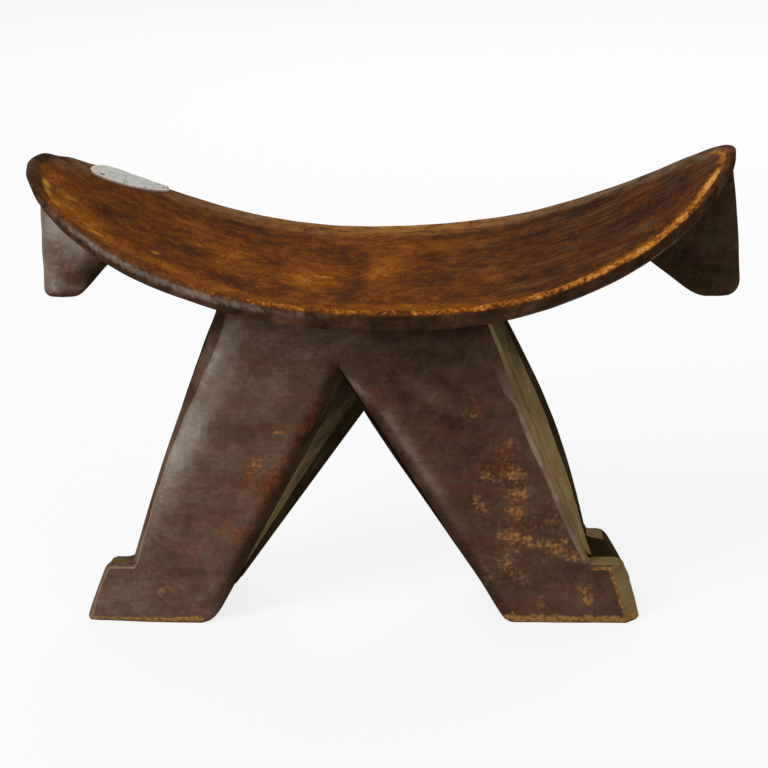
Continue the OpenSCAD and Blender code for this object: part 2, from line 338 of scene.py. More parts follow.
def make_seat_finish():
    """Polished top in mottled orange brown, with gold and dark purple places that masks put there, streaks
    at the right, a painted sheen along the far edge, a dark rim with a painted sheen at the left and a
    painted highlight line along its lower edge, and a bright worn edge."""
    material, tree, shader = new_material("polished seat wood")
    place = add_mask(tree, "grain_place", "Vector")
    grain = add_grain(tree, place, 0.006)
    clouds = ease(tree, grain["Clouds"], 0.38, 0.62)
    specks = ease(tree, grain["Specks"], 0.4, 0.66)
    red = add_mask(tree, "red")
    tone = combine(tree, "MULTIPLY_ADD", add_mask(tree, "warm"), 0.42, 0.43)
    tone = combine(tree, "MULTIPLY_ADD", add_mask(tree, "dark"), -0.5, tone)
    tone = combine(tree, "MULTIPLY_ADD", red, -0.16, tone)
    streaky = combine(tree, "MULTIPLY_ADD", red, 0.2, 0.15)
    tone = sway(tree, tone, grain, Clouds=0.6, Mottle=0.8, Specks=0.75, Fine=0.25, Streaks=streaky)
    top = ramp(
        tree, tone, (0.0, paint(50, 32, 26)), (0.25, paint(76, 44, 24)), (0.5, paint(104, 58, 22)),
        (0.72, paint(132, 78, 26)), (1.0, paint(174, 120, 52)),
    )
    smoke = times(tree, ease(tree, grain["Streaks"], 0.46, 0.62), red)
    top = cover(tree, times(tree, smoke, clouds), 0.4, top, paint(84, 74, 60))
    amber = times(tree, ease(tree, grain["Mottle"], 0.5, 0.66), ease(tree, grain["Specks"], 0.4, 0.62))
    amber = times(tree, amber, combine(tree, "MULTIPLY_ADD", red, -0.6, 1.0))
    top = cover(tree, amber, 0.35, top, paint(140, 74, 22))
    honey_mask = add_mask(tree, "honey")
    honey = sway(tree, honey_mask, grain, Mottle=0.8, Specks=0.9)
    honey = times(tree, honey, ease(tree, honey_mask, 0.05, 0.4))
    top = cover(tree, ease(tree, honey, 0.0, 0.9), 0.9, top, paint(204, 140, 48))
    # painted sheen along the far edge: grey olive at the sides and warmer in the middle
    uneven = sway(tree, 0.75, grain, Mottle=1.6, Streaks=1.2)
    sheen = times(tree, add_mask(tree, "far"), ease(tree, uneven, 0.2, 1.1))
    sheen_grey = blend(tree, red, paint(122, 98, 72), paint(124, 110, 88))
    far = blend(tree, add_mask(tree, "far_sheen_warm"), sheen_grey, paint(176, 122, 64))
    top = cover(tree, sheen, 0.9, top, far)
    rim_tone = sway(tree, add_mask(tree, "rim_tone"), grain, Clouds=1.4, Mottle=1.4)
    rim = ramp(
        tree, rim_tone, (0.0, paint(34, 23, 13)), (0.5, paint(62, 42, 28)), (1.0, paint(98, 68, 50)),
    )
    # painted sheen on the rim's side and a painted highlight line along its lower edge
    rim_painted_light = add_mask(tree, "rim_painted_light")
    light = add_flecks(tree, rim_painted_light, grain, 0.1, 1.1, Mottle=0.9, Specks=0.8)
    rim = blend(tree, light, rim, paint(140, 125, 113))
    body = blend(tree, add_mask(tree, "edge"), top, rim)
    glow = add_wear(tree, place, add_mask(tree, "glow"), 0.007, 0.6)
    body = cover(tree, glow, 0.6, body, blend(tree, specks, paint(142, 88, 28), paint(104, 56, 14)))
    gold = add_mask(tree, "gold")
    line = sway(tree, gold, grain, Mottle=1.5, Specks=2.2)
    line = times(tree, line, ease(tree, gold, 0.02, 0.3))
    worn = ease(tree, line, 0.1, 0.8)
    bright = ramp(
        tree, times(tree, line, 0.6), (0.25, paint(146, 82, 22)), (0.52, paint(192, 124, 46)),
        (0.85, paint(228, 176, 112)),
    )
    colour = cover(tree, worn, 0.92, body, bright)
    tree.links.new(colour, shader.inputs["Base Color"])
    rough = combine(tree, "MULTIPLY_ADD", clouds, 0.12, 0.5)
    tree.links.new(combine(tree, "MULTIPLY_ADD", worn, 0.2, rough), shader.inputs["Roughness"])
    shader.inputs["Specular IOR Level"].default_value = 0.0
    shader.inputs["Coat Roughness"].default_value = 0.34
    coat = combine(tree, "MULTIPLY_ADD", rim_painted_light, 0.12, 0.004)
    coat = times(tree, coat, combine(tree, "SUBTRACT", 1.0, worn))
    tree.links.new(coat, shader.inputs["Coat Weight"])
    height = combine(tree, "MULTIPLY_ADD", grain["Pores"], 0.4, grain["Fine"])
    height = combine(tree, "MULTIPLY_ADD", times(tree, worn, grain["Specks"]), 2.0, height)
    bump = add_node(tree, "ShaderNodeBump", {"Height": height, "Strength": 0.25, "Distance": 0.0006})
    tree.links.new(bump.outputs[0], shader.inputs["Normal"])
    return material


def outline_side(side, right_fullness, count):
    """Evenly spaced points along one side of the outline, left to right, where y is the half
    width times (1 - |share|^fullness)^(1/1.8), and the two ends have a fullness of their own."""
    share = np.sin(np.linspace(-np.pi / 2, np.pi / 2, 20001))
    fullness = np.where(share < 0, left_fullness, right_fullness)
    x = np.where(share < 0, half_length, half_length - right_end_short) * share
    y = side * half_width * np.maximum(0, 1 - np.abs(share) ** fullness) ** side_power
    walked = np.concatenate([[0], np.cumsum(np.hypot(np.diff(x), np.diff(y)))])
    stops = np.linspace(0, walked[-1], count + 1)
    return np.column_stack([np.interp(stops, walked, x), np.interp(stops, walked, y)])


def outline_points(count):
    """Points once round the seat's outline, and the outward direction at each."""
    far = outline_side(1, far_right_fullness, count // 2)
    near = outline_side(-1, near_right_fullness, count // 2)
    loop = np.vstack([far, near[-2:0:-1]])
    ahead = np.roll(loop, -1, axis=0) - np.roll(loop, 1, axis=0)
    outward = np.column_stack([-ahead[:, 1], ahead[:, 0]])
    return loop, outward / np.linalg.norm(outward, axis=1, keepdims=True)


def along_rim(x, **values):
    """A value that changes along the rim: pairs of places in mm and values, joined by lines."""
    return np.interp(x / mm, values["places"], values["levels"])


def carving(points):
    """Traces of hand carving, as a change of height: long low waves and small dents."""
    return 0.5 * mm * ripple(points, 0.09, 1) + 0.1 * mm * ripple(points, 0.022, 2)


def seat_surface():
    """Rings from the middle of the top, over the rim and back to the middle of the underside.
    Inside the rim a ring shrinks towards a line along X. Returns points and masks by ring."""
    loop, outward = outline_points(640)
    x_rim = loop[:, 0]
    near = loop[:, 1] < 0
    near_depth = along_rim(x_rim, places=(-250, -170, -120, -80, 0, 80, 130, 190, 250),
                           levels=(13.2, 13.1, 12.3, 13.4, 14.5, 13.6, 12.4, 13.4, 13.4))
    rim_depth = np.where(near, near_depth, 13.2) * mm
    belly = 6 * mm
    # the rim's upper edge is a soft round at the left and at the right tip, and tighter between
    soft_edge = along_rim(x_rim, places=(-250, -60, 40, 215, 246), levels=(6.5, 6, 3.6, 3.4, 7))
    at_left_tip = smooth_step(-0.222, -0.246, x_rim) * smooth_step(0.062, 0.035, loop[:, 1])
    at_right_tip = smooth_step(0.205, 0.24, x_rim)
    top_round = (np.where(near, soft_edge, 4.5) * (1 - at_left_tip) + 9 * at_left_tip) * mm
    low_round = 2.6 * mm
    turn = np.linspace(0, np.pi / 2, 9)[1:, None]
    straight = rim_depth - low_round - top_round
    side_steps = np.array([[0.3], [0.65], [1.0]])
    inset = np.concatenate([
        top_round * (1 - np.sin(turn)), rim_lean * side_steps ** 2 + 0 * top_round,
        rim_lean + low_round * (1 - np.cos(turn)) + 0 * top_round,
    ])
    level = np.concatenate([
        top_round * (np.cos(turn) - 1), -top_round - straight * side_steps,
        -rim_depth + low_round * (1 - np.sin(turn)) + 0 * top_round,
    ])
    inner = loop - outward * top_round[:, None]
    out = np.linspace(0, 1, 78)[:, None, None] ** 0.8
    spine = inner * [spine_share, 0]
    top = spine + out * (inner - spine)
    rim = loop - outward * inset[..., None]
    under_in = rim[-1]
    under_spine = under_in * [spine_share, 0]
    back = np.linspace(1, 0, 27)[1:, None, None]
    under = under_spine + back * (under_in - under_spine)
    plan = np.concatenate([top, rim, under])
    height = seat_top(plan[..., 0], plan[..., 1])
    rings, count = height.shape
    first_under = len(top) + len(rim)
    drop = np.zeros((rings, count))
    drop[len(top):first_under] = level
    drop[first_under:] = -rim_depth - belly * smooth_step(1.0, 0.35, back[..., 0])
    points = np.dstack([plan, height + drop])
    is_top = (np.arange(rings) < len(top))[:, None] * np.ones((1, count))
    on_rim = np.zeros((rings, count))
    on_rim[len(top):first_under] = 1
    # how far in from the outline a point of the top lies, and the width of the worn edge
    top_gap = top_round + np.linalg.norm(top - inner, axis=2)
    gap = np.concatenate([top_gap, inset, inset[-1] + 0 * under[..., 0]])
    rubbed = along_rim(x_rim, places=(-250, -215, -160, -60, 0, 60, 120, 165, 190, 225, 248),
                       levels=(0.55, 0.5, 0.15, 0.25, 0.4, 0.32, 0.36, 0.55, 0.9, 1.0, 0.8))
    rubbed = np.where(near, rubbed, 0.4 * smooth_step(0.225, 0.245, x_rim))
    worn_width = rubbed * (8.5 + 1.4 * ripple(points[len(top)], 0.02, 5)) * mm
    bevel_slope = np.where(near, along_rim(x_rim, places=(-250, 200, 240), levels=(0.3, 0.3, 0.12)), 0.1)
    fading = np.maximum(is_top, np.exp(drop / (4 * mm)) * on_rim)
    bevel = bevel_slope * np.maximum(0, worn_width - gap) * fading
    points[..., 2] -= bevel
    chips = ripple(points, 0.007, 6) * ripple(points, 0.017, 7)
    points[..., 2] -= 0.5 * mm * np.abs(chips) * smooth_step(0, 2 * mm, bevel)
    sideways = np.where(is_top, 0, np.clip(1 - gap / top_round, 0.0, 1)) * on_rim
    points[..., 2] += carving(points)
    points[..., :2] -= outward * (0.3 * mm * (1 + ripple(points, 0.018, 3)) * sideways)[..., None]
    points[..., 0] = np.clip(points[..., 0], -half_length, half_length)
    points[..., 1] = np.clip(points[..., 1], -half_width, half_width)
    points[..., 2] = np.minimum(points[..., 2], highest)
    strength = along_rim(
        x_rim, places=(-250, -235, -215, -165, -120, -95, -60, 0, 60, 130, 200, 240, 248),
        levels=(0, 0, 0, 0.1, 0.3, 0.4, 0.6, 0.6, 0.5, 0.66, 1.05, 1.0, 0.7),
    )
    strength = strength * (0.85 + 0.35 * ripple(points[len(top)], 0.035, 8))
    strength = np.where(near, strength, 0.6 * at_right_tip * smooth_step(0.05, 0.02, loop[:, 1]))
    # at the right tip the bright line runs a little way in from the edge
    line_gap = 2.5 * mm + 7 * mm * at_right_tip
    line_wide = 0.5 * worn_width + 1.2 * mm
    gold = strength * is_top * hill(gap, line_gap, line_wide)
    glow_reach = 2.4 * worn_width + 9 * mm
    glow = np.where(near, 0.75, np.clip(strength, 0, 1)) * (1 - at_left_tip) * is_top
    glow = glow * np.clip(1 - gap / glow_reach, 0, 1) ** 0.8
    gold += strength * on_rim * smooth_step(-3.6 * mm, -0.6 * mm, drop) * 0.9 * (1 - at_right_tip)
    # painted highlight: a thin light line along the right part of the rim's lower edge
    low_edge = on_rim * hill(drop, 1.0 * mm - rim_depth, 0.7 * mm)
    low_edge_highlight = along_rim(x_rim, places=(-250, 60, 140, 215, 236), levels=(0, 0.1, 0.5, 0.5, 0))
    low_edge_highlight = low_edge_highlight * near * low_edge
    edge = np.where(is_top, 0, smooth_step(-1.0 * mm, -3.2 * mm, drop))
    edge = np.maximum(edge, at_left_tip * smooth_step(12 * mm, 8 * mm, gap))
    edge = np.maximum(edge, 0.8 * at_right_tip * smooth_step(7 * mm, 4 * mm, gap))
    # painted sheen on the rim's side over its left half
    left_side = along_rim(x_rim, places=(-250, -222, -195, -100, -60, 0, 250),
                          levels=(0.1, 0.25, 1, 0.85, 0.5, 0.1, 0)) * near
    rim_painted_light = low_edge_highlight + 0.6 * left_side * on_rim * hill(drop, -4.4 * mm, 3.6 * mm)
    # how far in from the far outline the painted sheen reaches
    far_reach = along_rim(x_rim, places=(-250, -60, 60, 130, 250), levels=(30, 42, 38, 26, 22)) * mm
    dark = add_spots(points, (
        (-39, 36, 22, 14, 0, 0.55), (-16, -40, 9, 42, 0, 0.5), (51, -34, 24, 18, 0, 0.42),
        (18, -84, 14, 6, 0, 0.3), (-63, -66, 14, 18, 0, 0.5), (37, 13, 20, 10, 0, 0.25),
        (-192, -22, 14, 16, 0, 0.5), (-154, -17, 14, 12, 0, 0.45), (-132, -32, 14, 10, 0, 0.4),
        (139, 55, 26, 14, 0, 0.55), (103, 35, 40, 9, 0, 0.5), (175, -10, 40, 22, 0, 0.4),
        (-95, -75, 20, 12, 0, 0.35), (110, -60, 30, 10, 0, 0.35), (-120, 60, 50, 14, 0, 0.3),
        (30, 70, 60, 12, 0, 0.3), (205, 20, 14, 40, 0, 0.45), (-20, 14, 10, 22, 0, 0.3),
        (66, 0, 14, 26, 0, 0.3), (-75, -20, 8, 26, 0, 0.35), (-105, 40, 22, 8, 0, 0.3),
    ))
    warm = add_spots(points, (
        (-54, -41, 34, 42, 0, 0.6), (1, -10, 20, 44, 0, 0.7), (-216, -46, 14, 36, 0, 0.8),
        (-194, -60, 16, 20, 0, 0.7), (-142, 28, 20, 12, 0, 0.45), (-106, -17, 22, 36, 0, 0.5),
        (77, -43, 30, 40, 0, 0.4), (10, 45, 60, 16, 0, 0.45), (-160, -80, 60, 10, 0, 0.6),
        (-90, -92, 40, 9, 0, 0.6), (20, -92, 60, 8, 0, 0.6), (-230, -10, 8, 30, 0, 0.5),
    ))
    honey = add_spots(points, (
        (-230, -36, 4, 9, 10, 0.9), (-226, -50, 4, 8, 25, 1.0), (-219, -61, 6, 5, 0, 0.8),
        (-188, -75, 7, 4, 0, 0.6), (-150, -62, 4, 4, 0, 0.6), (-40, -30, 12, 5, 0, 0.45),
        (-130, -12, 10, 4, 0, 0.35),
    ))
    # the grain runs along the seat's curve, so its X is the way walked along that curve
    reach = np.linspace(-half_length, half_length, 2001)
    climb = np.gradient(seat_top(reach, 0 * reach), reach)
    walked = np.cumsum(np.hypot(1, climb)) * (reach[1] - reach[0])
    masks = {
        "grain_place": np.dstack([np.interp(plan[..., 0], reach, walked), plan[..., 1], drop]),
        "edge": edge, "rim_painted_light": np.clip(rim_painted_light, 0, 1), "glow": glow,
        "rim_tone": along_rim(plan[..., 0], places=(-250, -235, -180, 60, 200, 250),
                              levels=(0.62, 0.5, 0.45, 0.32, 0.3, 0.6)),
        "gold": np.clip(gold, 0, 1.2),
        "dark": np.clip(dark, 0, 1) * is_top,
        "warm": np.clip(warm, 0, 1) * is_top,
        "red": smooth_step(0.02, 0.12, points[..., 0]) * is_top,
        "far": is_top * smooth_step(0.0, 0.03, loop[:, 1]) * np.clip(1 - gap / far_reach, 0, 1) ** 0.8,
        "far_sheen_warm": hill(points[..., 0], 0, 110 * mm),
        "honey": is_top * np.clip(honey, 0, 1),
    }
    return points, masks


seat_points, seat_masks = seat_surface()
add_piece(
    "saddle_seat", seat_points, grid_faces(*seat_points.shape[:2]), seat_masks,
    make_seat_finish(), "seat_wood", "seat",
)


# Legs and feet
# The real base is one carved mass: two splayed legs that meet under the seat. Each leg has a
# front and a rear panel on toed feet, and raw wood between them. The faces are dark and
# hand-polished, with knife facets, worn arrises and rubbed soles.
base_middle = -22.5 * mm
half_depth = 38 * mm
panel_inside = 19 * mm
foot_height = 43 * mm
leg_spread = 167 * mm
leg_top_spread = 99 * mm
leg_top_height = 222 * mm
leg_ceiling = 252 * mm
joint_depth = 15 * mm
web_inset = 3 * mm
toe_bevel_width = 9 * mm
front_swell = 3.5 * mm
heel_forward = 6 * mm
fork_row = 150
base_rows = 196
toe_rows = 36
step_rows = 11


def backness(y):
    """0 at the base's front plane and 1 at its rear plane."""
    return (y + half_depth) / (2 * half_depth)


def leg_outside(side, y, z):
    """Distance of a leg's outer edge from the base's middle: a straight slant with a bow."""
    back = backness(y)
    share = (z - foot_height) / (leg_top_height - foot_height)
    front_bow = 3 * mm if side < 0 else -2 * mm
    bow = front_bow + ((6.5 + side) * mm - front_bow) * back
    low = leg_spread - side * 1 * mm - 4 * mm * back
    high = leg_top_spread + 3.6 * mm * back
    return low + (high - low) * share + bow * np.sin(np.pi * np.clip(share, 0, 1))


def fork_height(y):
    """Height of the top of the notch between the legs, which falls towards the rear."""
    return 190 * mm - 46 * mm * backness(y) ** 1.3


def fork_left(y):
    """Distance of the fork from the base's middle, to the left: the fork runs askew."""
    return 7 * mm - 12 * mm * backness(y)


def leg_inside(side, y, z):
    """Distance of a leg's inner edge from the base's middle: a straight slant to the fork."""
    floor = 107.5 * mm - 10 * mm * backness(y) - side * 3.2 * mm
    share = np.clip(z / fork_height(y), 0, 1)
    fuller = 10 * (1 + side) * mm * (1 - backness(y)) * share ** 3 * (1 - share)
    # the left front heel spreads a little towards the gap
    spread = 1.3 * (1 - side) * mm * smooth_step(60 * mm, 12 * mm, z) * (1 - backness(y)) ** 2
    return floor + (-side * fork_left(y) - floor) * share - fuller - spread


def toe_size(side, rear):
    """How far a toe stands out at the top of its foot, and how far it spreads below that."""
    if rear:
        return (2 * mm, 14 * mm) if side < 0 else (13.5 * mm, 20 * mm)
    return (18.7 * mm, 16.8 * mm) if side < 0 else (24.5 * mm, 12 * mm)


def run(start, stop, count, crowd=0.0):
    """Numbers from start up to, but not including, stop, crowded at both ends by a sine."""
    share = np.arange(count) / count
    return start + (stop - start) * (share - crowd * np.sin(2 * np.pi * share) / (2 * np.pi))


def leg_columns():
    """The columns round a leg, from the inner front edge outwards and round the rear. For each:
    its depth, its place between the inner edge (0) and the outer one (1), how far it is set
    back as web (0 to 1), and a number for the face that it is on. 0 is the front and 6 the
    rear. 1 and 5 are the panels' outer sides, with the web 3 between its steps 2 and 4. 7 and
    11 are the panels' inner sides, with the web 9 between its steps 8 and 10."""
    columns = [[], [], [], []]
    p, h = panel_inside, half_depth
    for count, y0, y1, a0, a1, r0, r1, number in (
        (104, -h, -h, 0, 1, 0, 0, 0), (13, -h, -p, 1, 1, 0, 0, 1), (5, -p, -p, 1, 1, 0, 1, 2),
        (24, -p, p, 1, 1, 1, 1, 3), (5, p, p, 1, 1, 1, 0, 4), (13, p, h, 1, 1, 0, 0, 5),
        (80, h, h, 1, 0, 0, 0, 6), (12, h, p, 0, 0, 0, 0, 7), (4, p, p, 0, 0, 0, 1, 8),
        (24, p, -p, 0, 0, 1, 1, 9), (4, -p, -p, 0, 0, 1, 0, 10), (12, -p, -h, 0, 0, 0, 0, 11),
    ):
        columns[0].append(run(y0, y1, count))
        columns[1].append(run(a0, a1, count, 0.95))
        columns[2].append(run(r0, r1, count))
        columns[3].append(np.full(count, number))
    return [np.concatenate(part) for part in columns]


def outer_profile(side, y, recess):
    """The outer edge of each column from the floor up: up the toe, across its top and up the
    leg. Web columns have no toe. Returns distance from the middle and height, rows by columns."""
    rise = np.linspace(0, 1, toe_rows)[:, None]
    top_of_leg = leg_outside(side, y, foot_height)
    rear = y > 0
    step = np.where(rear, toe_size(side, True)[0], toe_size(side, False)[0])
    spread = np.where(rear, toe_size(side, True)[1], toe_size(side, False)[1])
    toe_x = top_of_leg + step + spread * (1 - rise ** 1.2)
    toe_x = toe_x - 3 * mm * np.maximum(0, 1 - rise * foot_height / (3 * mm)) ** 2
    low_top = np.where(rear, 2, 0 if side > 0 else 1.8 * smooth_step(-half_depth, -panel_inside, y)) * mm
    toe_z = (foot_height - low_top) * rise + 0 * toe_x
    corner = np.minimum((5 if side > 0 else 3.5) * mm, 0.8 * step)
    near_top = np.maximum(0, toe_z - (foot_height - low_top - corner)) / corner
    toe_x = toe_x - corner * (1 - np.sqrt(np.maximum(0, 1 - near_top ** 2)))
    across = np.linspace(0, 1, step_rows + 1)[1:, None]
    step_x = toe_x[-1] + (top_of_leg - toe_x[-1]) * across
    step_z = foot_height - low_top * (1 - smooth_step(0.7, 1, across)) + 0 * step_x
    up = np.linspace(0, 1, base_rows - toe_rows - step_rows + 1)[1:, None]
    up_z = foot_height + (leg_ceiling - foot_height) * up + 0 * step_x[:1]
    up_x = leg_outside(side, y, up_z)
    fillet = 3 * mm
    up_x = up_x + fillet * np.maximum(0, 1 - (up_z - foot_height) / fillet) ** 2
    panel_x = np.concatenate([toe_x, step_x, up_x])
    panel_z = np.concatenate([toe_z, step_z, up_z])
    rows = np.linspace(0, 1, base_rows)[:, None]
    web_z = np.interp(rows, [0, 41 / base_rows, 1], [0, foot_height, leg_ceiling]) + 0 * panel_x
    web_x = leg_outside(side, y, web_z) - 0.8 * mm
    return panel_x + (web_x - panel_x) * recess, panel_z + (web_z - panel_z) * recess


def smooth_ramp(value):
    """0 below zero and the value itself above, with a rounded bend between."""
    soft = 3 * mm
    return 0.5 * (value + np.sqrt(value ** 2 + soft ** 2)) - 0.02 * soft


def face_recession(side, out, z, rear):
    """How far the front or rear face lies back from its plane: a rounded inner edge, a chamfer
    along the outer edge and the toe, broad knife facets, and a rubbed edge at the sole."""
    y = half_depth if rear else -half_depth
    fork = fork_height(y)
    fork_x = -side * fork_left(y)
    floor = leg_inside(side, y, 0)
    slant = np.array([fork_x - floor, fork])
    length = np.hypot(*slant)
    slant = slant / length
    walked = np.clip((out - floor) * slant[0] + z * slant[1], -1, length)
    inner_gap = np.hypot(out - floor - walked * slant[0], z - walked * slant[1])
    leg_x = leg_outside(side, y, np.maximum(z, foot_height))
    step, spread = toe_size(side, rear)
    toe_line = leg_outside(side, y, foot_height) + step + spread * (1 - (z / foot_height) ** 1.2) - out
    outer_gap = np.hypot(np.maximum(0, leg_x - out) * 0.943, np.maximum(0, foot_height - z))
    toe_gap = np.where(z < foot_height, np.maximum(0, toe_line * 0.93), 1)
    # the right front toe has a bevel instead of the chamfer, so its side counts as far away
    toe_side = toe_gap + (0 if side < 0 or rear else 1)
    outer_gap = np.where(z < foot_height, np.minimum(outer_gap, toe_side), outer_gap)
    # what differs between the legs fades into one near the fork, where they meet
    apart = 0.5 + 0.5 * side * smooth_step(0, 45 * mm, side * (side * out + fork_left(y)))
    edge_round = (6 if rear else 9 - 1.5 * apart) * mm
    inside = np.clip(1 - inner_gap / edge_round, 0, 1)
    back = edge_round * (1 - np.sqrt(1 - inside ** 2))
    if side < 0 or rear:
        chamfer = np.interp(z / mm, [foot_height / mm - 1, foot_height / mm + 2, 120, 150, 175, 200, 235],
                            [2.2, 3.2, 3.4, 4.4, 6.4, 8.0, 8.0]) * mm
        chamfer = chamfer + 0.3 * mm * np.sin(2 * np.pi * (z / (34 * mm)))
        facet_wide = np.interp(z / mm, [40, 95, 190, 240], [8, 26, 46, 40]) * mm
        facet_slope = 0.12
    else:
        scallop = np.abs(np.sin(np.pi * z / (58 * mm) + 0.35))
        chamfer = (1.9 + 1.1 * scallop) * mm + 3.5 * mm * smooth_step(166 * mm, 178 * mm, z)
        chamfer = np.where(z < foot_height, 1.6 * mm, chamfer)
        facet_wide = 16 * mm
        facet_slope = 0.05
    if side < 0 and not rear:
        # the left foot's inner heel is carved a little further forward
        flare = np.clip(1 - (out - floor + z * 0.57) / (130 * mm), 0, 1) * smooth_step(150 * mm, 0, z)
        back = back - heel_forward * flare
    if side > 0 and not rear:
        # a broad bevel down the outside of the right front toe
        back = back + np.maximum(0, toe_bevel_width - toe_gap)
    if not rear:
        # the front feet swell a little forward at the floor
        back = back - front_swell * smooth_step(34 * mm, 2 * mm, z)
    inner_wide = np.interp(z / mm, [60, 100, 165, 200], [8, 13.5, 14.5, 20]) * mm
    inner_slope = 0.06 + 0.12 * apart * smooth_step(30 * mm, 110 * mm, z)
    back = back + np.maximum(0, chamfer - outer_gap)
    back = back + facet_slope * smooth_ramp(facet_wide - outer_gap)
    back = back + inner_slope * smooth_ramp(inner_wide - inner_gap)
    back = back + np.maximum(0, 1.5 * mm - z) * 0.5
    return back, outer_gap, inner_gap, chamfer + 0 * z, toe_gap


def leg_surface(side):
    """One leg with its feet, as a grid of heights by columns. Below the fork the inner columns
    are the notch's wall; above it they lie on the plane where the two legs meet."""
    y, place, recess, face = leg_columns()
    out_x, out_z = outer_profile(side, y, recess)
    row = np.arange(base_rows)[:, None]
    fork = fork_height(y)
    low = np.minimum(1, row / fork_row)
    high = np.maximum(0, (row - fork_row) / (base_rows - 1 - fork_row))
    in_z = low * fork + high * (leg_ceiling - fork)
    heel = (9 - 7 * backness(y)) * mm if side < 0 else 4.5 * mm
    in_x = leg_inside(side, y, in_z) + web_inset * recess * (1 - low ** 8)
    in_x = in_x + heel - np.sqrt(heel ** 2 - np.clip(heel - in_z, 0, heel) ** 2)
    out = in_x + (out_x - in_x) * place
    z = in_z + (out_z - in_z) * place
    front, outer_gap, inner_gap, chamfer, toe_gap = face_recession(side, out, z, False)
    rear = face_recession(side, out, z, True)[0]
    depth = np.where(face == 0, -half_depth + front, 0) + np.where(face == 6, half_depth - rear, 0)
    # side columns start at the depth where the front or rear face ends
    for number, recession, sign in ((1, front, -1), (5, rear, 1), (7, rear, 1), (11, front, -1)):
        chosen = face == number
        share = np.abs(y[chosen] - sign * panel_inside) / (half_depth - panel_inside)
        reach = half_depth - recession[:, chosen] - panel_inside
        depth[:, chosen] = sign * (panel_inside + share * reach)
    flat = np.isin(face, (2, 3, 4, 8, 9, 10))
    depth[:, flat] = y[flat]
    points = np.dstack([base_middle + side * out, depth, z])
    # the top of each column ends a little way inside the seat
    ceiling = seat_top(points[..., 0], 0 * z) - joint_depth
    share = np.clip((z - 200 * mm) / (leg_ceiling - 200 * mm), 0, 1)
    points[..., 2] = z + share ** 2 * (ceiling - leg_ceiling) * smooth_step(0.0, 1.0, share)
    facing = {"face": face, "outer_gap": outer_gap, "inner_gap": inner_gap, "chamfer": chamfer,
              "toe_gap": toe_gap}
    return points, facing, recess


